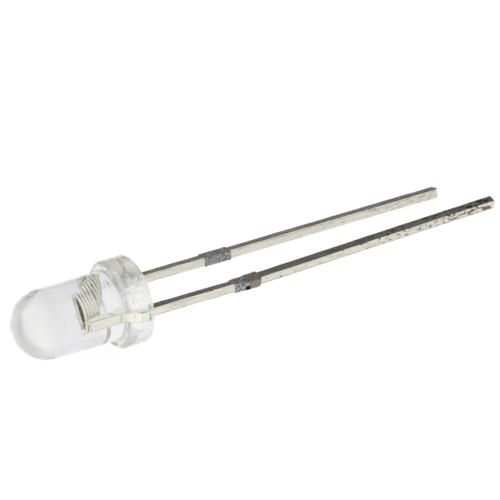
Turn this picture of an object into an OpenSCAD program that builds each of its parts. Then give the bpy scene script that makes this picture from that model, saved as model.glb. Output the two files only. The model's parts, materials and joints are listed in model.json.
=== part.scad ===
// Clear round 3 mm light emitting diode with two through hole leads, in millimetres.
// It lies as it comes to rest, on the rim of its flange and on the tips of both leads,
// with the dome towards -X, the leads towards +X and the cathode towards +Y.
// The origin is on the surface it lies on, below the middle of its bounding box.
// Each piece is drawn upright first, with the dome up, the seating plane at z = 0 and the
// sheet of the leads in the XZ plane, and at_rest() then lays it down.

/* [Epoxy body] */
// Diameter of the domed barrel
lens_d = 3.0; // [2.8:0.05:3.2]
// Height of the body from the seating plane to the tip of the dome
body_h = 5.65; // [5.2:0.05:7]
// Diameter of the flange
flange_d = 3.8; // [3.6:0.05:4.4]
// Thickness of the flange
flange_h = 1.2; // [1:0.05:1.6]
// Rounding of the edge of the flange next to the barrel
flange_round = 0.25; // [0.05:0.01:0.35]
// Rounding of the edge of the flange at the seating plane
base_round = 0.15; // [0.05:0.01:0.35]
// Fillet between the barrel and the flange
barrel_fillet = 0.08; // [0.02:0.01:0.09]
// Distance from the axis to the flat that marks the cathode
flat_x = 1.63; // [1.61:0.01:1.75]
// How far the epoxy creeps down each lead
creep_h = 0.14; // [0.05:0.01:0.2]

/* [Leads] */
// Distance between the two leads, centre to centre
lead_pitch = 2.54; // [2.4:0.01:2.6]
// Width of a lead
lead_w = 0.42; // [0.35:0.01:0.5]
// Thickness of the sheet that both leads are stamped from
sheet_t = 0.4; // [0.3:0.01:0.5]
// Length of the cathode lead below the seating plane
cathode_len = 15.3; // [10:0.05:24]
// Length of the anode lead below the seating plane
anode_len = 16.85; // [10:0.05:26]
// Distance from the seating plane to the middle of the cut tie bar
stub_z = 4.6; // [3:0.1:6]
// Length of the cut tie bar along the lead
stub_h = 1.26; // [0.6:0.02:1.6]
// How far the cut tie bar stands proud of each side of the lead
stub_out = 0.07; // [0.02:0.01:0.2]
// Angle that the anode lead is bent towards the cathode at its tie bar
anode_bend = 2.7; // [0:0.1:4]
// Clipped corners at the tip of the cathode lead
cathode_clip = 0.14; // [0.02:0.01:0.16]
// Clipped corners at the tip of the anode lead
anode_clip = 0.03; // [0.02:0.01:0.16]

/* [Lead frame inside the epoxy] */
// Height where the leads start to step inwards
shoulder_z = 0.45; // [0.2:0.05:0.6]
// Height that the inward step takes
shoulder_h = 0.5; // [0.3:0.05:0.55]
// Distance from the axis to the outer edges of the anvil and of the post
frame_out = 1.1; // [1.06:0.01:1.16]
// Height of the underside of the anvil at the cathode lead
heel_z = 1.05; // [0.95:0.05:1.3]
// Height of the underside of the anvil at its nose, past the axis
nose_z = 2.05; // [1.95:0.05:2.1]
// Height of the end of that nose
nose_h = 0.25; // [0.15:0.01:0.3]
// How far the nose reaches past the axis
nose_x = 0.1; // [0:0.01:0.3]
// Height of the outer corner of the anvil
anvil_z = 1.9; // [1.6:0.05:2]
// Height of the top of the post
post_z = 2.72; // [2.5:0.01:2.8]
// Width of the post
post_w = 0.38; // [0.3:0.01:0.4]
// How far the barb that anchors the post stands out from it
barb_out = 0.16; // [0.05:0.01:0.3]
// Height of the underside of that barb
barb_z = 1.1; // [1:0.05:1.3]
// Height that the barb takes
barb_h = 0.4; // [0.2:0.05:0.5]

/* [Reflector cup] */
// Height of the rim of the cup above the seating plane
rim_z = 2.8; // [2.7:0.05:3]
// Outer diameter of the rim
rim_d = 1.2; // [1.1:0.02:1.24]
// Width of the flat land on the rim
rim_land = 0.1; // [0.06:0.01:0.14]
// Depth of the cup
cup_depth = 0.4; // [0.3:0.01:0.45]
// Diameter of the floor of the cup
cup_floor_d = 0.52; // [0.46:0.01:0.6]
// Height of the cone outside the cup
cone_h = 0.78; // [0.72:0.01:0.85]
// Diameter of the foot of that cone
cone_foot_d = 0.8; // [0.7:0.02:0.9]

/* [Chip and bond wire] */
// Side of the square chip
chip_w = 0.28; // [0.2:0.01:0.28]
// Height of the chip
chip_h = 0.15; // [0.1:0.01:0.2]
// Diameter of the round contact on top of the chip
contact_d = 0.11; // [0.1:0.005:0.13]
// Height of that contact
contact_h = 0.01; // [0.005:0.001:0.02]
// Thickness of the glue film under the chip
glue_h = 0.02; // [0.01:0.002:0.04]
// Width of the glue that shows around the chip
glue_out = 0.02; // [0.01:0.005:0.03]
// Diameter of the bond wire
wire_d = 0.03; // [0.025:0.001:0.04]
// Diameter of the flattened ball where the wire starts
ball_d = 0.08; // [0.06:0.002:0.09]
// Height of that ball
ball_h = 0.035; // [0.02:0.001:0.05]
// Diameter of the flattened stitch where the wire ends
stitch_d = 0.1; // [0.08:0.002:0.14]
// Thickness of that stitch
stitch_h = 0.012; // [0.008:0.001:0.02]
// Radius of the bend above the ball
wire_bend_r = 0.15; // [0.1:0.005:0.2]
// Angle below the level at which the wire comes down to the post
wire_fall = 25; // [20:1:30]

/* [Hidden] */
$fn = 96;

// Reach of a cutting block, larger than the whole part.
far = 60;
// Overlap by which the shapes of one piece fuse.
fuse = 0.01;

lens_r = lens_d / 2;
flange_r = flange_d / 2;
dome_z = body_h - lens_r;

lead_x = lead_pitch / 2;
lead_out = lead_x + lead_w / 2;
lead_in = lead_x - lead_w / 2;
frame_z = shoulder_z + shoulder_h;
// Radius that just clears the corners of a lead.
creep_r = norm([lead_w, sheet_t]) / 2 + fuse;

post_x = frame_out - post_w;
nose_top = nose_z + nose_h;

cup_floor_z = rim_z - cup_depth;
cone_foot_z = rim_z - cone_h;
chip_z = cup_floor_z + glue_h;
contact_z = chip_z + chip_h;
ball_z = contact_z + contact_h;

// The wire rises from the ball, bends by wire_turn and runs straight down to the post.
wire_r = wire_d / 2;
wire_turn = 90 + wire_fall;
wire_end_x = frame_out - post_w / 2;
wire_run = (wire_end_x - wire_bend_r + wire_bend_r * cos(wire_turn)) / sin(wire_turn);
wire_rise_z = post_z - wire_bend_r * sin(wire_turn) - wire_run * cos(wire_turn);

// Where the part lies: x along the leads, y towards the cathode, z up. The tip of each
// lead is a line between its clipped corners, from side -1 to side 1.
below_bend = anode_len - stub_z;
function cathode_tip(side) = [cathode_len, lead_x + side * (lead_w / 2 - cathode_clip)];
function anode_tip(side) = [
    stub_z + below_bend * cos(anode_bend) - side * (lead_w / 2 - anode_clip) * sin(anode_bend),
    -lead_x + below_bend * sin(anode_bend) + side * (lead_w / 2 - anode_clip) * cos(anode_bend)
];
// Height of the axis above the surface, at the seating plane, with the flange on it.
function axis_height(pitch) =
    (flange_r - base_round) * cos(pitch) + base_round * (1 - sin(pitch));
// Roll that brings both tips to one height, and pitch that brings the anode's tip down.
function roll_at(pitch) = -asin(tan(pitch) * (anode_tip(1)[0] - cathode_tip(1)[0])
    / (cathode_tip(1)[1] - anode_tip(1)[1]));
function pitch_after(pitch) = asin((axis_height(pitch) + cos(pitch)
    * (sin(roll_at(pitch)) * anode_tip(1)[1] - cos(roll_at(pitch)) * sheet_t / 2))
    / anode_tip(1)[0]);
function settled(pitch, steps) = steps == 0 ? pitch : settled(pitch_after(pitch), steps - 1);
rest_pitch = settled(0, 20);
rest_roll = roll_at(rest_pitch);
rest_height = axis_height(rest_pitch);

// Bounding box of the part at rest, about the axis.
dome_end = -dome_z * cos(rest_pitch) - lens_r;
lead_end = max([for (side = [-1, 1]) anode_tip(side)[0] * cos(rest_pitch) + sin(rest_pitch)
    * (anode_tip(side)[1] * sin(rest_roll) + sheet_t / 2 * cos(rest_roll))]);
flat_half = sqrt(pow(flange_r, 2) - pow(flat_x, 2));
flat_end = flat_x * cos(rest_roll) + flat_half * abs(sin(rest_roll));

module at_rest() {
    translate([-(dome_end + lead_end) / 2, (flange_r - flat_end) / 2, rest_height])
        rotate([rest_roll, rest_pitch, 0])
        rotate([-90, 0, 90])
        children();
}

// Turns an outline in x and z into a piece of sheet.
module stamped() {
    rotate([90, 0, 0])
        linear_extrude(sheet_t, center = true)
        children();
}

module lead_bar(top, bottom, clip) {
    polygon([
        [lead_w / 2, top],
        [-lead_w / 2, top],
        [-lead_w / 2, bottom + clip],
        [-lead_w / 2 + clip, bottom],
        [lead_w / 2 - clip, bottom],
        [lead_w / 2, bottom + clip]
    ]);
}

// A lead from the shoulder down to its tip, bent inwards at the cut tie bar.
module lead_outline(len, clip, bend) {
    translate([lead_in, -stub_z])
        square([lead_w, stub_z + shoulder_z / 2]);
    translate([lead_in - stub_out, -stub_z - stub_h / 2])
        square([lead_w + stub_out * 2, stub_h]);
    translate([lead_x, -stub_z])
        rotate(-bend)
        lead_bar(0, stub_z - len, clip);
}

// The step inwards, the anvil with its nose, and its top below the cup.
module anvil_outline() {
    polygon([
        [lead_in, 0],
        [lead_in, heel_z],
        [-nose_x, nose_z],
        [-nose_x, nose_top],
        [frame_out - (nose_top - anvil_z), nose_top],
        [frame_out, anvil_z],
        [frame_out, frame_z],
        [lead_out, shoulder_z],
        [lead_out, 0]
    ]);
}

// The step inwards, and the post with its barb, up to its flat top.
module post_outline() {
    polygon([
        [lead_in, 0],
        [lead_in, shoulder_z],
        [post_x, frame_z],
        [post_x - barb_out, barb_z],
        [post_x - barb_out, barb_z + barb_h / 2],
        [post_x, barb_z + barb_h],
        [post_x, post_z],
        [frame_out, post_z],
        [frame_out, frame_z],
        [lead_out, shoulder_z],
        [lead_out, 0]
    ]);
}

module cup_cone() {
    rotate_extrude()
        polygon([
            [0, cone_foot_z],
            [cone_foot_d / 2, cone_foot_z],
            [rim_d / 2, rim_z],
            [0, rim_z]
        ]);
}

module cup_bowl() {
    rotate_extrude()
        polygon([
            [0, cup_floor_z],
            [cup_floor_d / 2, cup_floor_z],
            [rim_d / 2 - rim_land, rim_z],
            [rim_d / 2 - rim_land, rim_z + fuse],
            [0, rim_z + fuse]
        ]);
}

module cathode_form() {
    difference() {
        union() {
            stamped()
                lead_outline(cathode_len, cathode_clip, 0);
            stamped()
                anvil_outline();
            cup_cone();
        }
        cup_bowl();
    }
}

module anode_form() {
    mirror([1, 0, 0]) {
        stamped()
            lead_outline(anode_len, anode_clip, anode_bend);
        stamped()
            post_outline();
    }
}

// The forms of the glue, the chip and the wire also cut their room into the epoxy. There
// each one is sunk into what it stands on, so that no film of epoxy is left between them.
module glue_form(sunk = 0) {
    translate([-chip_w / 2 - glue_out, -chip_w / 2 - glue_out, cup_floor_z - sunk])
        cube([chip_w + glue_out * 2, chip_w + glue_out * 2, glue_h + sunk]);
}

module chip_form(sunk = 0) {
    translate([-chip_w / 2, -chip_w / 2, chip_z - sunk])
        cube([chip_w, chip_w, chip_h + sunk]);
    translate([0, 0, contact_z - fuse])
        cylinder(h = contact_h + fuse, d = contact_d);
}

module wire_form(sunk = 0) {
    translate([0, 0, ball_z - sunk])
        cylinder(h = ball_h + sunk, d = ball_d);
    translate([0, 0, wire_rise_z])
        mirror([0, 0, 1])
        cylinder(h = wire_rise_z - ball_z - ball_h / 2, r = wire_r);
    translate([-wire_bend_r, 0, wire_rise_z])
        rotate([90, 0, 0])
        rotate_extrude(angle = wire_turn)
        translate([wire_bend_r, 0])
        circle(wire_r);
    difference() {
        translate([-wire_bend_r, 0, wire_rise_z])
            rotate([0, -wire_turn, 0])
            translate([wire_bend_r, 0, 0])
            cylinder(h = wire_run + wire_d, r = wire_r);
        translate([-far / 2, -far / 2, post_z - far])
            cube(far);
    }
    translate([-wire_end_x, 0, post_z - sunk])
        cylinder(h = stitch_h + sunk, d = stitch_d);
}

// Half section of the epoxy: barrel and dome, flange with its rounded edges, and fillet.
module epoxy_section() {
    square([lens_r, dome_z]);
    translate([0, dome_z])
        intersection() {
            circle(lens_r);
            square(lens_r * 2);
        }
    translate([0, base_round])
        square([flange_r, flange_h - base_round - flange_round]);
    square([flange_r - base_round, flange_h / 2]);
    translate([0, flange_h / 2])
        square([flange_r - flange_round, flange_h / 2]);
    translate([flange_r - base_round, base_round])
        circle(base_round);
    translate([flange_r - flange_round, flange_h - flange_round])
        circle(flange_round);
    translate([lens_r - fuse, flange_h - fuse])
        difference() {
            square(barrel_fillet + fuse);
            translate([barrel_fillet + fuse, barrel_fillet + fuse])
                circle(barrel_fillet);
        }
}

// The skirt of epoxy that crept down a lead before it set.
module creep() {
    rotate_extrude()
        difference() {
            translate([0, -creep_h])
                square([creep_r + creep_h, creep_h + fuse]);
            translate([creep_r + creep_h, -creep_h])
                circle(creep_h);
        }
}

module epoxy_form() {
    difference() {
        union() {
            rotate_extrude()
                epoxy_section();
            for (side = [-1, 1])
                translate([side * lead_x, 0, 0])
                    creep();
        }
        translate([flat_x, -far / 2, flange_h + barrel_fillet - far])
            cube(far);
    }
}

module lens_body() {
    color([0.86, 0.88, 0.9, 0.35])
        at_rest()
        difference() {
            epoxy_form();
            cathode_form();
            anode_form();
            glue_form(sunk = fuse);
            chip_form(sunk = fuse);
            wire_form(sunk = fuse);
        }
}

module cathode_lead() {
    color([0.78, 0.78, 0.76])
        at_rest()
        cathode_form();
}

module anode_lead() {
    color([0.78, 0.78, 0.76])
        at_rest()
        anode_form();
}

module die_attach() {
    color([0.62, 0.62, 0.6])
        at_rest()
        glue_form();
}

module led_chip() {
    color([0.42, 0.36, 0.2])
        at_rest()
        chip_form();
}

module bond_wire() {
    color([0.88, 0.7, 0.3])
        at_rest()
        wire_form();
}

lens_body();
cathode_lead();
anode_lead();
die_attach();
led_chip();
bond_wire();
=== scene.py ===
"""A clear round light emitting diode, dressed for the camera.

Every piece is built upright in millimetres, with the dome up, the seating plane at z = 0, the
sheet of the leads in the XZ plane and the cathode at +X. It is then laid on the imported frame.
"""

import json
import math

import bmesh
import bpy
from mathutils import Matrix, Vector, noise


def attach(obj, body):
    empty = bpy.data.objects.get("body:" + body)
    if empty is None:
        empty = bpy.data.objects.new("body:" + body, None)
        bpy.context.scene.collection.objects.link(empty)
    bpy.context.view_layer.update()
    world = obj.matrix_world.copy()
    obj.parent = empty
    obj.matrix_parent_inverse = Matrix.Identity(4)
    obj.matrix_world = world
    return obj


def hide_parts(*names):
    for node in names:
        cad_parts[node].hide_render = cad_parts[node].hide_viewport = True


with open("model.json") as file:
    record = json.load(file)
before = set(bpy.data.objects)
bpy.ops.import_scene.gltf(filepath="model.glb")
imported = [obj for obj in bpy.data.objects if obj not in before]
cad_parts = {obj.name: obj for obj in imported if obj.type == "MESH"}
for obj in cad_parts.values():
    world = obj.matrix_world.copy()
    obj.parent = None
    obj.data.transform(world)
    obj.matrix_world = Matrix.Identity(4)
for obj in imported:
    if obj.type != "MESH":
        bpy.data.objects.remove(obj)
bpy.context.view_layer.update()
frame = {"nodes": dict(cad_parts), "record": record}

MM = 0.001

# Epoxy body, in millimetres.
LENS_R = 1.5
BODY_H = 5.65
FLANGE_R = 1.9
FLANGE_H = 1.2
FLANGE_ROUND = 0.25
BASE_ROUND = 0.15
BARREL_FILLET = 0.08
FLAT_X = 1.63
FLAT_ROUND = 0.04
CREEP_H = 0.14
DOME_Z = BODY_H - LENS_R

# Leads, in millimetres.
LEAD_X = 1.27
LEAD_W = 0.42
SHEET_T = 0.4
EDGE_ROUND = 0.06
LEAD_IN = LEAD_X - LEAD_W / 2
LEAD_OUT = LEAD_X + LEAD_W / 2
CATHODE_LEN = 15.3
ANODE_LEN = 16.85
STUB_Z = 4.6
STUB_H = 1.26
STUB_OUT = 0.07
STUB_START = STUB_Z - STUB_H / 2
STUB_END = STUB_Z + STUB_H / 2
ANODE_BEND = math.radians(2.7)
CATHODE_CLIP = 0.14
ANODE_CLIP = 0.03
CATHODE_ROLL = (math.radians(8), math.radians(8))
ANODE_ROLL = (math.radians(6), math.radians(-12))

# Where the roll of a lead grows, below the seating plane, and how far above the tip its lift
# is complete, in millimetres.
ROLL_RUN = (0.2, 1.5)
LIFT_END = 2

# How much thinner a lead is inside the epoxy and at its very tip, in millimetres.
ROOT_INSET = 0.01
TIP_INSET = 0.02

# How uneven a lead is, and how uneven where its tie bar was cut: the depth in millimetres, and
# how often it changes across the lead and along it.
LEAD_UNEVEN = (0.006, 6, 1.6)
STUB_UNEVEN = (0.016, 22, 16)

# Lead frame inside the epoxy, in millimetres.
FRAME_FOOT_Z = 0.04
SHOULDER_Z = 0.45
FRAME_Z = 0.95
FRAME_OUT = 1.1
HEEL_Z = 1.05
NOSE_X = 0.1
NOSE_Z = 2.05
NOSE_TOP = 2.3
ANVIL_Z = 1.9
POST_Z = 2.72
POST_W = 0.38
POST_X = FRAME_OUT - POST_W
POST_MIDDLE_X = FRAME_OUT - POST_W / 2
BARB_OUT = 0.16
BARB_Z = 1.1
BARB_H = 0.4
RIM_Z = 2.8
RIM_R = 0.6
RIM_LAND = 0.1
CUP_FLOOR_Z = 2.4
CUP_FLOOR_R = 0.26
CONE_FOOT_Z = 2.02
CONE_FOOT_R = 0.4
RIDGES = 5
RIDGE_DEPTH = 0.025
RIDGE_PITCH = (RIM_Z - CONE_FOOT_Z) / RIDGES

# Bond wire, in millimetres.
BALL_Z = 2.58
BALL_R = 0.04
BALL_H = 0.035
WIRE_R = 0.015
WIRE_SIDES = 16
WIRE_BEND_R = 0.15
WIRE_FALL = math.radians(25)
STITCH_R = 0.05
STITCH_H = 0.012

# Heights between which a lead grows more pitted towards its tip, in millimetres, and by how
# much.
PIT_RUN = (-6.0, -15.5)
PIT_GAIN = 0.14

# Middle of the burnt spot on the tie bar stub of the anode, in millimetres.
BURN_AT = (-LEAD_OUT - STUB_OUT, 0.13, -STUB_Z)

# Middle and reach of the painted shade in the bowl of the cup, in millimetres.
BOWL_MIDDLE = (0, 0, (CUP_FLOOR_Z + RIM_Z) / 2)
BOWL_REACH = 0.45

# Roughness of the skin of the epoxy, over that of the polished barrel.
BASE_SKIN = 0.15
FLANGE_SKIN = 0.06
TIP_SKIN = 0.22

# Share of the light that the epoxy lets through at the dome and round the cup, and how much
# less of it gets through the flange.
HAZY = 0.7
CLEAR = 0.95
FLANGE_HAZE = 0.13

# How much higher the ripples of the flange are than the waves of the whole casting.
RIPPLE_GAIN = 5.0

# Depth of the relief of each material, in metres.
EPOXY_RELIEF = 0.02 * MM
TIN_RELIEF = 0.006 * MM
GLUE_RELIEF = 0.004 * MM

# Ranges of a noise that are stretched over a whole change, for a soft mottle and a crisp one.
SOFT = (0.3, 0.7)
CRISP = (0.35, 0.65)

# Colours. A pair is the darker and the paler end of a mottle.
BARREL_GREYS = ((0.75, 0.75, 0.77, 1), (0.80, 0.80, 0.81, 1))
FLANGE_TINT = (0.98, 0.98, 0.965, 1)
TIP_TINT = (1.0, 1.0, 0.985, 1)
PLATE_GREYS = ((0.52, 0.51, 0.46, 1), (0.80, 0.78, 0.71, 1))
PLATE_CLOUD = (0.74, 0.71, 0.62, 1)
PIT_BROWN = (0.20, 0.14, 0.11, 1)
# Painted shade on the face of each lead at +y.
SHADED_FACE_GREY = (0.40, 0.38, 0.34, 1)
SILVERS = ((0.93, 0.93, 0.79, 1), (0.98, 0.98, 0.89, 1))
# Painted shade on the silver near the seating plane.
SHADED_ROOT_SILVER = (0.84, 0.84, 0.77, 1)
# Painted shade in the bowl of the cup.
BOWL_PAINTED_SHADE = (0.02, 0.008, 0.006, 1)
SHEARED_GREYS = ((0.09, 0.09, 0.085, 1), (0.5, 0.5, 0.48, 1))
STAIN_BROWNS = ((0.09, 0.06, 0.05, 1), (0.42, 0.34, 0.28, 1))
BURNT = (0.012, 0.008, 0.008, 1)
GLUE_GREYS = ((0.16, 0.15, 0.14, 1), (0.4, 0.39, 0.37, 1))
CHIP_BROWNS = ((0.03, 0.018, 0.016, 1), (0.08, 0.045, 0.035, 1))
GOLDS = ((0.9, 0.72, 0.42, 1), (0.98, 0.84, 0.58, 1))
FLOOR_GREY = (0.2, 0.2, 0.2, 1)
CARD_GREY = (0.125, 0.115, 0.10, 1)

# Small soft light that gives the dome its highlight, in metres and watts.
KEY_DIRECTION = Vector((-0.70, 0.57, 0.43))
KEY_DISTANCE = 0.5
KEY_SIZE = 0.1
KEY_POWER = 0.15

# Dark card that the tops of the leads mirror, and the floor, in metres.
CARD_DIRECTION = Vector((0.36, 0.71, 0.6))
CARD_DISTANCE = 0.5
CARD_SIZE = 0.8
FLOOR_SIZE = 1.2

# View of the photograph in pixels from its top left corner, taken through a long lens from
# this many metres away.
PHOTO_SIZE = 500
PIXELS_PER_MM = 24.0
ORIGIN_PIXEL = (253.8, 289.8)
CAMERA_DISTANCE = 0.8
CAMERA_AZIMUTH = math.radians(-27.1)
CAMERA_ELEVATION = math.radians(36.7)
CAMERA_ROLL = math.radians(-4.3)


def upright_matrix():
    """From the upright part in millimetres to the row frame.

    The square film of glue has a face along each axis of the part, which gives the turn.
    """
    faces = frame["nodes"]["die_attach"].data.polygons

    def nearest(direction):
        return max((face.normal for face in faces), key=lambda n: n.dot(direction)).normalized()

    to_cathode = nearest(Vector((0, 1, 0)))
    to_dome = nearest(Vector((-1, 0, 0)))
    turn = Matrix((to_cathode, to_dome.cross(to_cathode), to_dome)).transposed().to_4x4()
    seat = next(m for m in frame["record"]["mounts"] if m["name"] == "seating_plane")
    return Matrix.Translation(seat["pos_m"]) @ turn @ Matrix.Scale(MM, 4)


UPRIGHT = upright_matrix()


def mesh_object(name, bm):
    """An object in the scene from a bmesh, which is freed."""
    mesh = bpy.data.meshes.new(name)
    bm.to_mesh(mesh)
    bm.free()
    obj = bpy.data.objects.new(name, mesh)
    bpy.context.scene.collection.objects.link(obj)
    return obj


def piece(name, bm, look, node):
    """Lays an upright bmesh on the frame in place of a CAD node."""
    bm.transform(UPRIGHT)
    obj = mesh_object(name, bm)
    for face in obj.data.polygons:
        face.use_smooth = True
    obj.data.materials.append(look)
    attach(obj, "root")
    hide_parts(node)


def fused(name, bodies):
    """One closed mesh from several overlapping ones."""
    objects = [mesh_object(name, bm) for bm in bodies]
    base = objects[0]
    for other in objects[1:]:
        union = base.modifiers.new("fuse", "BOOLEAN")
        union.operation = "UNION"
        union.solver = "EXACT"
        union.object = other
    bpy.context.view_layer.update()
    done = bmesh.new()
    done.from_object(base, bpy.context.evaluated_depsgraph_get())
    for obj in objects:
        bpy.data.objects.remove(obj)
    return done


def arc(centre, radius, start, stop, steps):
    """Points on an arc in a half section, with angles in degrees from the r axis."""
    points = []
    for i in range(steps + 1):
        angle = math.radians(start + (stop - start) * i / steps)
        points.append((centre[0] + radius * math.cos(angle), centre[1] + radius * math.sin(angle)))
    return points


def line(start, stop, steps):
    """Points on a straight line in a half section, without its end."""
    return [
        (start[0] + (stop[0] - start[0]) * i / steps, start[1] + (stop[1] - start[1]) * i / steps)
        for i in range(steps)
    ]


def round_point(r, angle, z):
    """A point of a plain round shape."""
    return r * math.cos(angle), r * math.sin(angle), z


def revolved(section, segments, place=round_point):
    """A closed surface from a half section that starts and ends on the axis."""
    bm = bmesh.new()
    start = bm.verts.new(place(0, 0, section[0][1]))
    stop = bm.verts.new(place(0, 0, section[-1][1]))
    rings = []
    for r, z in section[1:-1]:
        rings.append([bm.verts.new(place(r, math.tau * i / segments, z)) for i in range(segments)])
    for i in range(segments):
        j = (i + 1) % segments
        bm.faces.new((start, rings[0][j], rings[0][i]))
        for low, high in zip(rings, rings[1:]):
            bm.faces.new((low[i], low[j], high[j], high[i]))
        bm.faces.new((rings[-1][i], rings[-1][j], stop))
    bmesh.ops.recalc_face_normals(bm, faces=bm.faces)
    return bm


def soft_min(a, b, width):
    """The smaller of two lengths, with the corner between them rounded."""
    h = max(width - abs(a - b), 0) / width
    return min(a, b) - h * h * width / 4


def creep_depth(x, y):
    """How far the epoxy has crept down the nearer lead at a point of the base."""
    beyond = Vector((max(abs(abs(x) - LEAD_X) - LEAD_W / 2, 0), max(abs(y) - SHEET_T / 2, 0)))
    reach = CREEP_H * 1.4
    gap = reach - beyond.length
    if gap <= 0:
        return 0.0
    return CREEP_H * (1 - math.sqrt(max(1 - (gap / reach) ** 2, 0)))


def epoxy_point(r, angle, z):
    """Cuts the flat for the cathode into the flange and lets the base creep down the leads."""
    if math.cos(angle) > 0.1 and z < FLANGE_H + BARREL_FILLET:
        r = soft_min(r, FLAT_X / math.cos(angle), FLAT_ROUND)
    x, y = r * math.cos(angle), r * math.sin(angle)
    if z <= 0:
        z -= creep_depth(x, y)
    return x, y, z


def epoxy_body():
    """The cast body: base, rounded flange, fillet, barrel and dome."""
    rim = FLANGE_R - BASE_ROUND
    section = line((0, 0), (rim, 0), 44)
    section += arc((rim, BASE_ROUND), BASE_ROUND, -90, 0, 8)
    section += line((FLANGE_R, BASE_ROUND + 0.03), (FLANGE_R, FLANGE_H - FLANGE_ROUND - 0.03), 6)
    section += arc((FLANGE_R - FLANGE_ROUND, FLANGE_H - FLANGE_ROUND), FLANGE_ROUND, 0, 90, 12)
    fillet = (LENS_R + BARREL_FILLET, FLANGE_H + BARREL_FILLET)
    section += arc(fillet, BARREL_FILLET, -90, -180, 6)
    section += line((LENS_R, FLANGE_H + BARREL_FILLET + 0.03), (LENS_R, DOME_Z), 14)
    section += arc((0, DOME_Z), LENS_R, 0, 90, 40)
    return revolved(section, 360, epoxy_point)


def stamped(outline):
    """A piece of sheet with its edges rounded, from an outline in x and z."""
    bm = bmesh.new()
    front = [bm.verts.new((x, -SHEET_T / 2, z)) for x, z in outline]
    back = [bm.verts.new((x, SHEET_T / 2, z)) for x, z in outline]
    bm.faces.new(front)
    bm.faces.new(list(reversed(back)))
    for i, vert in enumerate(front):
        j = (i + 1) % len(front)
        bm.faces.new((vert, back[i], back[j], front[j]))
    bmesh.ops.recalc_face_normals(bm, faces=bm.faces)
    bmesh.ops.bevel(
        bm, geom=bm.edges[:], offset=EDGE_ROUND * 0.6, segments=3, profile=0.5, affect="EDGES",
        clamp_overlap=True)
    bmesh.ops.triangulate(bm, faces=[face for face in bm.faces if len(face.verts) > 4])
    return bm


def cross_section(half_w, half_t, corner, side_steps, corner_steps):
    """Points round a lead, from the middle of its right side, with each corner rounded."""
    points = []
    corners = [(1, 1, 0), (-1, 1, 90), (-1, -1, 180), (1, -1, 270)]
    for sign_x, sign_y, start in corners:
        centre = (sign_x * (half_w - corner), sign_y * (half_t - corner))
        points += arc(centre, corner, start, start + 90, corner_steps)
    full = []
    for i, point in enumerate(points):
        following = points[(i + 1) % len(points)]
        full.append(point)
        if math.dist(point, following) > corner:
            full += line(point, following, side_steps)[1:]
    return full


def lead_stations(length, clip):
    """Where the rings of a lead lie below the seating plane, closer together where it changes."""
    stations = [-0.3, -0.1, 0.0]
    stations += [s for s, _ in line((0.08, 0), (STUB_START - 0.03, 0), 44)]
    stations += [STUB_START - 0.03, STUB_START]
    stations += [s for s, _ in line((STUB_START + 0.02, 0), (STUB_END - 0.02, 0), 34)]
    stations += [STUB_END - 0.02, STUB_END]
    stations += [s for s, _ in line((STUB_END + 0.03, 0), (length - clip - 0.05, 0), 130)]
    stations += [length - clip - 0.05, length - clip, length - clip / 2, length - 0.015, length]
    return stations


def eased(value, start, stop):
    """Rises smoothly from 0 at start to 1 at stop."""
    t = max(0.0, min(1.0, (value - start) / (stop - start)))
    return t * t * (3 - 2 * t)


def lead_size(s, length, clip):
    """Half width, half thickness and rounding of a lead at a station."""
    half_w, half_t, corner = LEAD_W / 2, SHEET_T / 2, EDGE_ROUND
    if s < 0:
        half_w -= ROOT_INSET
        half_t -= ROOT_INSET
    if STUB_START <= s <= STUB_END:
        half_w += STUB_OUT
        corner = EDGE_ROUND / 2
    half_w -= max(s - (length - clip), 0)
    if s >= length:
        half_w -= TIP_INSET
        half_t -= TIP_INSET
    return half_w, half_t, min(corner, half_w * 0.6)


def lead_swell(x, y, s, seed):
    """How far a lead swells at a point: not inside the epoxy, and most where it was cut."""
    if s < 0:
        return 0
    depth, across, along = LEAD_UNEVEN
    if STUB_START <= s <= STUB_END:
        depth, across, along = STUB_UNEVEN
    offset = Vector((seed * 7.3, seed * 3.1, 0))
    return depth * noise.noise(Vector((x * across, y * across, s * along)) + offset)


def lofted(bm, rings):
    """Joins rings of vertices into one closed surface."""
    for low, high in zip(rings, rings[1:]):
        for i in range(len(low)):
            j = (i + 1) % len(low)
            bm.faces.new((low[i], low[j], high[j], high[i]))
    bm.faces.new(list(reversed(rings[0])))
    bm.faces.new(rings[-1])
    bmesh.ops.recalc_face_normals(bm, faces=bm.faces)
    return bm


def lead_form(side, length, clip, bend, roll, seed):
    """A lead from just inside the epoxy to its tip, with its cut tie bar, as one closed loft.

    It is rolled a little about its length, by one angle before the tie bar and one after it, and
    its outer end is lifted by as much as its corners would then reach into the floor.
    """
    bm = bmesh.new()
    rings = []
    turn = Matrix.Rotation(-bend * side, 2)
    for s in lead_stations(length, clip):
        half_w, half_t, corner = lead_size(s, length, clip)
        angle = roll[0] * eased(s, *ROLL_RUN)
        angle += (roll[1] - roll[0]) * eased(s, STUB_START + 0.1, STUB_END - 0.1)
        rolled = Matrix.Rotation(angle, 2)
        reach = (half_t - corner) * math.cos(angle) + (half_w - corner) * math.sin(abs(angle))
        lift = (reach + corner - half_t) * eased(s, STUB_END, length - LIFT_END)
        ring = []
        for x, y in cross_section(half_w, half_t, corner, side_steps=9, corner_steps=4):
            swell = lead_swell(x, y, s, seed)
            point = Vector((x, y)) * (1 + swell / (SHEET_T / 2))
            point.x = max(-half_w, min(half_w, point.x))
            point.y = max(-half_t, min(half_t, point.y))
            point = rolled @ point
            below = Vector((point.x, -s))
            if s > STUB_Z:
                below = turn @ Vector((point.x, -(s - STUB_Z))) + Vector((0, -STUB_Z))
            ring.append(bm.verts.new((below.x + side * LEAD_X, point.y - lift, below.y)))
        rings.append(ring)
    return lofted(bm, rings)


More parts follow.
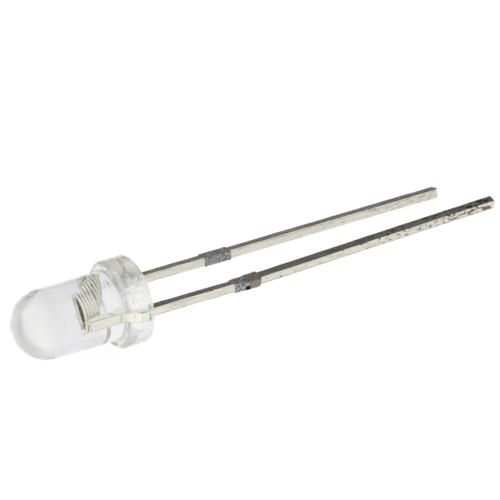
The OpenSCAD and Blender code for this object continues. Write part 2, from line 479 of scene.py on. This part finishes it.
def anvil_form():
    """The sheet part of the cathode inside the epoxy."""
    return stamped([
        (LEAD_IN, FRAME_FOOT_Z),
        (LEAD_IN, HEEL_Z),
        (-NOSE_X, NOSE_Z),
        (-NOSE_X, NOSE_TOP),
        (FRAME_OUT - (NOSE_TOP - ANVIL_Z), NOSE_TOP),
        (FRAME_OUT, ANVIL_Z),
        (FRAME_OUT, FRAME_Z),
        (LEAD_OUT, SHOULDER_Z),
        (LEAD_OUT, FRAME_FOOT_Z),
    ])


def post_form():
    """The sheet part of the anode inside the epoxy."""
    outline = [
        (LEAD_IN, FRAME_FOOT_Z),
        (LEAD_IN, SHOULDER_Z),
        (POST_X, FRAME_Z),
        (POST_X - BARB_OUT, BARB_Z),
        (POST_X - BARB_OUT, BARB_Z + BARB_H / 2),
        (POST_X, BARB_Z + BARB_H),
        (POST_X, POST_Z),
        (FRAME_OUT, POST_Z),
        (FRAME_OUT, FRAME_Z),
        (LEAD_OUT, SHOULDER_Z),
        (LEAD_OUT, FRAME_FOOT_Z),
    ]
    return stamped([(-x, z) for x, z in outline])


def cup_form():
    """The coined reflector cup with its rounded rim and its bowl."""
    edge = 0.03
    inner = RIM_R - RIM_LAND
    section = line((0, CONE_FOOT_Z), (CONE_FOOT_R, CONE_FOOT_Z), 4)
    for i, (r, z) in enumerate(line((CONE_FOOT_R, CONE_FOOT_Z), (RIM_R, RIM_Z - edge), RIDGES * 4)):
        section.append((r - RIDGE_DEPTH * (1 - math.cos(math.tau * i / 4)) / 2, z))
    section += arc((RIM_R - edge, RIM_Z - edge), edge, 0, 90, 5)
    section += arc((inner + edge, RIM_Z - edge), edge, 90, 150, 4)
    section += line((inner, RIM_Z - edge * 1.6), (CUP_FLOOR_R, CUP_FLOOR_Z), 10)
    section += line((CUP_FLOOR_R, CUP_FLOOR_Z), (0, CUP_FLOOR_Z), 3)
    section.append((0, CUP_FLOOR_Z))
    return revolved(section, 128)


def wire_path():
    """Centreline of the bond wire: up from the ball, round, and down to the post."""
    turn = math.pi / 2 + WIRE_FALL
    run = (POST_MIDDLE_X - WIRE_BEND_R + WIRE_BEND_R * math.cos(turn)) / math.sin(turn)
    rise_z = POST_Z - WIRE_BEND_R * math.sin(turn) - run * math.cos(turn)
    points = [(0, z) for _, z in line((0, BALL_Z + BALL_H / 2), (0, rise_z), 5)]
    points += arc((-WIRE_BEND_R, rise_z), WIRE_BEND_R, 0, math.degrees(turn), 14)
    points += line(points[-1], (-POST_MIDDLE_X, POST_Z), 12)[1:]
    points.append((-POST_MIDDLE_X, POST_Z + WIRE_R * 0.5))
    return points


def wire_form():
    """The gold wire with its flattened ball and its stitch."""
    tube = bmesh.new()
    path = [Vector((x, 0, z)) for x, z in wire_path()]
    across = Vector((0, 1, 0))
    rings = []
    for i, here in enumerate(path):
        along = (path[min(i + 1, len(path) - 1)] - path[max(i - 1, 0)]).normalized()
        up = along.cross(across)
        ring = []
        for k in range(WIRE_SIDES):
            angle = math.tau * k / WIRE_SIDES
            outwards = across * math.cos(angle) + up * math.sin(angle)
            ring.append(tube.verts.new(here + outwards * WIRE_R))
        rings.append(ring)
    lofted(tube, rings)
    ball_round = BALL_H * 0.49
    ball = revolved(
        [(0, BALL_Z)]
        + arc((BALL_R - ball_round, BALL_Z + ball_round), ball_round, -90, 90, 10)
        + [(0, BALL_Z + BALL_H)], 32)
    stitch = revolved(
        [(0, POST_Z)]
        + [(STITCH_R, POST_Z + 0.001), (STITCH_R * 0.9, POST_Z + STITCH_H * 0.7)]
        + [(STITCH_R * 0.6, POST_Z + STITCH_H), (0, POST_Z + STITCH_H)], 32)
    bmesh.ops.translate(stitch, verts=stitch.verts, vec=(-POST_MIDDLE_X, 0, 0))
    return fused("wire", [tube, ball, stitch])


class Look:
    """A material with its node tree and a short way to add nodes to it."""

    def __init__(self, name):
        self.material = bpy.data.materials.new(name)
        self.material.use_nodes = True
        self.nodes = self.material.node_tree.nodes
        self.links = self.material.node_tree.links
        self.shader = self.nodes["Principled BSDF"]

    def add(self, kind, inputs=(), **settings):
        """A new node, with its inputs linked or set."""
        node = self.nodes.new("ShaderNode" + kind)
        for key, value in settings.items():
            setattr(node, key, value)
        for key, value in dict(inputs).items():
            self.put(node.inputs[key], value)
        return node

    def put(self, socket, value):
        """Links an output to a socket, or sets the socket's own value."""
        if isinstance(value, bpy.types.NodeSocket):
            self.links.new(value, socket)
        else:
            socket.default_value = value

    def set(self, **inputs):
        """Inputs of the shader, named with underscores for spaces."""
        for key, value in inputs.items():
            self.put(self.shader.inputs[key.replace("_", " ")], value)

    def place(self, scale=(1, 1, 1)):
        """Coordinates in the upright part in millimetres, stretched."""
        where = self.add("TexCoord").outputs["Object"]
        move, turn, size = UPRIGHT.decompose()
        where = self.add("Mapping", {
            "Vector": where, "Location": move, "Rotation": turn.to_euler(), "Scale": size,
        }, vector_type="TEXTURE").outputs["Vector"]
        return self.add("Mapping", {"Vector": where, "Scale": scale}).outputs["Vector"]

    def noise(self, where, scale, detail=3.0, rough=0.5):
        return self.add("TexNoise", {
            "Vector": where, "Scale": scale, "Detail": detail, "Roughness": rough,
        }).outputs["Fac"]

    def between(self, value, low, high, to_low=0.0, to_high=1.0):
        """Maps a value from low..high to another range, smoothly and clamped."""
        return self.add("MapRange", {
            "Value": value, "From Min": low, "From Max": high, "To Min": to_low, "To Max": to_high,
        }, interpolation_type="SMOOTHSTEP").outputs["Result"]

    def math(self, operation, a, b=0.0):
        node = self.add("Math", operation=operation)
        self.put(node.inputs[0], a)
        self.put(node.inputs[1], b)
        return node.outputs[0]

    def apart(self, a, b):
        """How far two places lie from each other."""
        node = self.add("VectorMath", operation="DISTANCE")
        self.put(node.inputs[0], a)
        self.put(node.inputs[1], b)
        return node.outputs["Value"]

    def mix(self, share, a, b):
        """A colour between two colours."""
        node = self.add("Mix", data_type="RGBA")
        self.put(node.inputs["Factor"], share)
        colours = [socket for socket in node.inputs if socket.type == "RGBA"]
        self.put(colours[0], a)
        self.put(colours[1], b)
        return next(socket for socket in node.outputs if socket.type == "RGBA")

    def bump(self, height, distance, strength=1.0):
        return self.add("Bump", {
            "Height": height, "Distance": distance, "Strength": strength,
        }).outputs["Normal"]


def epoxy_look():
    """Clear cast epoxy: polished barrel, hazy dome, rippled and cloudy flange, matt base."""
    look = Look("clear_epoxy")
    where = look.place()
    z = look.add("SeparateXYZ", {"Vector": where}).outputs["Z"]
    waves = look.noise(where, 0.9, 2.0)
    rubs = look.noise(look.place((1, 1, 0.2)), 9.0, 6.0, 0.6)
    flange = look.between(z, FLANGE_H + 0.1, FLANGE_H - 0.15, 0.0, FLANGE_SKIN)
    tip = look.between(z, DOME_Z - 0.2, BODY_H - 0.4, 0.0, TIP_SKIN)
    base = look.between(z, 0.06, 0.02, 0.0, BASE_SKIN)
    rubbed = look.between(rubs, 0.45, 0.8, 0.015, 0.06)
    skin = look.math("ADD", look.math("ADD", flange, tip), rubbed)
    skin = look.math("ADD", skin, base)
    grey = look.mix(look.between(waves, *SOFT), *BARREL_GREYS)
    tint = look.mix(look.between(z, FLANGE_H + 0.15, FLANGE_H - 0.2), grey, FLANGE_TINT)
    tint = look.mix(look.between(z, DOME_Z, BODY_H - 0.4), tint, TIP_TINT)
    clear = look.between(z, DOME_Z - 0.2, RIM_Z + 0.1, HAZY, CLEAR)
    haze = look.between(z, FLANGE_H + 0.15, FLANGE_H - 0.15, 0.0, FLANGE_HAZE)
    clouds = look.between(look.noise(where, 4.5, 3.0), *CRISP, 0.35, 1.35)
    haze = look.math("MULTIPLY", haze, clouds)
    in_flange = look.between(z, FLANGE_H + 0.2, FLANGE_H - 0.2)
    ripples = look.math("MULTIPLY", look.noise(where, 3.2, 2.0), in_flange)
    relief = look.math("ADD", waves, look.math("MULTIPLY", ripples, RIPPLE_GAIN))
    look.set(
        Base_Color=tint,
        Roughness=skin,
        Transmission_Weight=look.math("SUBTRACT", clear, haze),
        Specular_IOR_Level=0.5,
        IOR=1.53,
        Normal=look.bump(relief, EPOXY_RELIEF, 0.3),
    )
    return look.material


def tin_look(name, brown, ridged, bowl_shade):
    """Bright tin plate, drawn along the lead, with its sheared grey tie bar, its pits and painted
    shade on one face.

    Inside the epoxy the plate is silver, with painted shade at its root. The two leads differ in
    how brown their pits and stubs are, how deeply the frame is ridged and how much painted shade
    lies in the bowl.
    """
    look = Look(name)
    where = look.place()
    parts = look.add("SeparateXYZ", {"Vector": where})
    y, z = parts.outputs["Y"], parts.outputs["Z"]
    streaks = look.noise(look.place((9, 9, 0.35)), 3.0, 5.0, 0.6)
    clouds = look.noise(look.place((2, 2, 0.8)), 1.6, 4.0)
    pits = look.noise(look.place((1, 1, 0.7)), 7.0, 2.0, 0.5)
    plate = look.mix(look.between(streaks, *SOFT), *PLATE_GREYS)
    plate = look.mix(look.between(clouds, 0.45, 0.75, 0.0, 0.4), plate, PLATE_CLOUD)
    worn = look.math("ADD", pits, look.between(z, *PIT_RUN, 0.0, PIT_GAIN))
    spots = look.between(worn, 0.63, 0.76)
    plate = look.mix(look.math("MULTIPLY", spots, brown), plate, PIT_BROWN)
    # Painted shade: the face of the lead at +y is darkened outside the epoxy.
    painted_shade_side = look.between(y, SHEET_T * 0.3, SHEET_T * 0.42, 0.0, 0.7)
    plate = look.mix(painted_shade_side, plate, SHADED_FACE_GREY)
    silver = look.mix(look.between(streaks, *SOFT), *SILVERS)
    # Painted shade in the bowl of the cup, as strong as the lead asks for.
    from_bowl = look.apart(where, BOWL_MIDDLE)
    bowl = look.between(from_bowl, BOWL_REACH + 0.02, BOWL_REACH - 0.02, 0.0, bowl_shade)
    silver = look.mix(bowl, silver, BOWL_PAINTED_SHADE)
    # Painted shade: the silver darkens towards the seating plane, where the lead leaves the base.
    root = look.between(z, SHOULDER_Z + 0.15, SHOULDER_Z - 0.1)
    silver = look.mix(root, silver, SHADED_ROOT_SILVER)
    plate = look.mix(look.between(z, -0.02, 0.02), plate, silver)
    middle = look.math("ABSOLUTE", look.math("ADD", z, STUB_Z))
    cut = look.between(middle, STUB_H / 2 + 0.015, STUB_H / 2 - 0.015)
    grain = look.noise(where, 14.0, 3.0, 0.7)
    ridges = look.math("SINE", look.math("MULTIPLY", z, math.tau / RIDGE_PITCH))
    ridges = look.math("MULTIPLY", ridges, look.between(z, FRAME_Z, FRAME_Z + 0.1, 0.0, ridged))
    streaks = look.math("MULTIPLY", streaks, look.between(z, 0.0, 0.3, 1.0, 0.3))
    bare = look.mix(look.between(grain, *CRISP), *SHEARED_GREYS)
    stained = look.between(z, -STUB_Z, -STUB_Z - 0.2, 0.0, 0.75 * brown)
    bare = look.mix(stained, bare, look.mix(grain, *STAIN_BROWNS))
    bare = look.mix(look.between(look.apart(where, BURN_AT), 0.18, 0.08), bare, BURNT)
    gloss = look.between(streaks, *SOFT, 0.2, 0.34)
    relief = look.math("ADD", streaks, look.math("MULTIPLY", grain, cut))
    look.set(
        Base_Color=look.mix(cut, plate, bare),
        Metallic=look.between(cut, 0, 1, 1.0, 0.75),
        Roughness=look.math("ADD", gloss, look.math("MULTIPLY", cut, 0.3)),
        Normal=look.bump(look.math("ADD", ridges, relief), TIN_RELIEF, 0.6),
    )
    return look.material


def glue_look():
    """Silver filled glue: a satin grey with grains."""
    look = Look("silver_glue")
    grains = look.noise(look.place(), 30.0, 4.0, 0.7)
    look.set(
        Base_Color=look.mix(look.between(grains, *CRISP), *GLUE_GREYS),
        Metallic=0.6,
        Roughness=look.between(grains, *SOFT, 0.35, 0.6),
        Normal=look.bump(grains, GLUE_RELIEF),
    )
    return look.material


def chip_look():
    """A polished dark semiconductor."""
    look = Look("chip")
    grains = look.noise(look.place(), 12.0, 3.0)
    look.set(
        Base_Color=look.mix(look.between(grains, *SOFT), *CHIP_BROWNS),
        Roughness=look.between(grains, *SOFT, 0.12, 0.3),
        Coat_Weight=0.4,
    )
    return look.material


def gold_look():
    """Drawn gold wire."""
    look = Look("gold_wire")
    lines = look.noise(look.place((1, 1, 0.2)), 60.0, 3.0)
    look.set(
        Base_Color=look.mix(look.between(lines, *SOFT), *GOLDS),
        Metallic=1.0,
        Roughness=look.between(lines, *SOFT, 0.15, 0.3),
    )
    return look.material


def dress_node(name, look):
    """Gives a CAD node that stays in view its material."""
    node = frame["nodes"][name]
    node.data.materials.clear()
    node.data.materials.append(look)


def square(name, size, look):
    """A flat square sheet of the set."""
    bm = bmesh.new()
    bmesh.ops.create_grid(bm, x_segments=1, y_segments=1, size=size / 2)
    obj = mesh_object(name, bm)
    obj.data.materials.append(look)
    return obj


def floor():
    """A plain pale floor that glows a little, so that it comes out even."""
    look = Look("floor")
    look.set(
        Base_Color=FLOOR_GREY,
        Roughness=0.9,
        Emission_Color=(1, 1, 1, 1),
        Emission_Strength=0.85,
    )
    obj = square("floor", FLOOR_SIZE, look.material)


def camera():
    """The photograph's view, with the row frame's origin at the same pixel."""
    az, el, roll = CAMERA_AZIMUTH, CAMERA_ELEVATION, CAMERA_ROLL
    back = Vector((math.sin(az) * math.cos(el), -math.cos(az) * math.cos(el), math.sin(el)))
    level = Vector((math.cos(az), math.sin(az), 0))
    raised = back.cross(level)
    right = level * math.cos(roll) + raised * math.sin(roll)
    up = raised * math.cos(roll) - level * math.sin(roll)
    middle = PHOTO_SIZE / 2
    metres = MM / PIXELS_PER_MM
    centre = right * (middle - ORIGIN_PIXEL[0]) * metres - up * (middle - ORIGIN_PIXEL[1]) * metres
    data = bpy.data.cameras.new("camera")
    data.lens = data.sensor_width * CAMERA_DISTANCE / (PHOTO_SIZE * metres)
    data.clip_start = 0.001
    data.clip_end = 5
    obj = bpy.data.objects.new("camera", data)
    turn = Matrix((right, up, back)).transposed().to_4x4()
    obj.matrix_world = Matrix.Translation(centre + back * CAMERA_DISTANCE) @ turn
    bpy.context.scene.collection.objects.link(obj)
    bpy.context.scene.camera = obj


def area_light(name, place, size, power):
    """A soft box that faces the middle of the part."""
    data = bpy.data.lights.new(name, "AREA")
    data.shape = "DISK"
    data.size = size
    data.energy = power
    obj = bpy.data.objects.new(name, data)
    obj.location = place
    obj.rotation_euler = (-Vector(place)).to_track_quat("-Z", "Y").to_euler()
    obj.visible_camera = False
    bpy.context.scene.collection.objects.link(obj)


def dark_card():
    """A dark card that only the surfaces of the part mirror."""
    look = Look("card")
    look.set(Base_Color=CARD_GREY, Roughness=0.9)
    obj = square("card", CARD_SIZE, look.material)
    towards = CARD_DIRECTION.normalized()
    obj.location = towards * CARD_DISTANCE
    obj.rotation_euler = towards.to_track_quat("Z", "Y").to_euler()
    obj.visible_camera = False
    obj.visible_transmission = False
    obj.visible_diffuse = False


def studio():
    """A pale room with even light."""
    world = bpy.data.worlds.new("studio")
    world.use_nodes = True
    background = world.node_tree.nodes["Background"]
    background.inputs["Color"].default_value = (1, 1, 1, 1)
    background.inputs["Strength"].default_value = 1.0
    bpy.context.scene.world = world
    bpy.context.scene.view_settings.view_transform = "Standard"


EPOXY = epoxy_look()
# Only the cathode has painted shade in its bowl.
CATHODE_TIN = tin_look("cathode_tin", brown=0.25, ridged=8.0, bowl_shade=1.0)
ANODE_TIN = tin_look("anode_tin", brown=1.0, ridged=0.0, bowl_shade=0.0)

piece("epoxy_lens", epoxy_body(), EPOXY, "lens_body")
cathode = [anvil_form(), cup_form()]
cathode.append(lead_form(
    side=1, length=CATHODE_LEN, clip=CATHODE_CLIP, bend=0, roll=CATHODE_ROLL, seed=1))
piece("cathode_stamping", fused("cathode", cathode), CATHODE_TIN, "cathode_lead")
anode = [post_form()]
anode.append(lead_form(
    side=-1, length=ANODE_LEN, clip=ANODE_CLIP, bend=ANODE_BEND, roll=ANODE_ROLL, seed=2))
piece("anode_stamping", fused("anode", anode), ANODE_TIN, "anode_lead")
piece("gold_bond_wire", wire_form(), gold_look(), "bond_wire")
dress_node("die_attach", glue_look())
dress_node("led_chip", chip_look())

floor()
dark_card()
area_light("key_light", KEY_DIRECTION.normalized() * KEY_DISTANCE, KEY_SIZE, KEY_POWER)
camera()
studio()
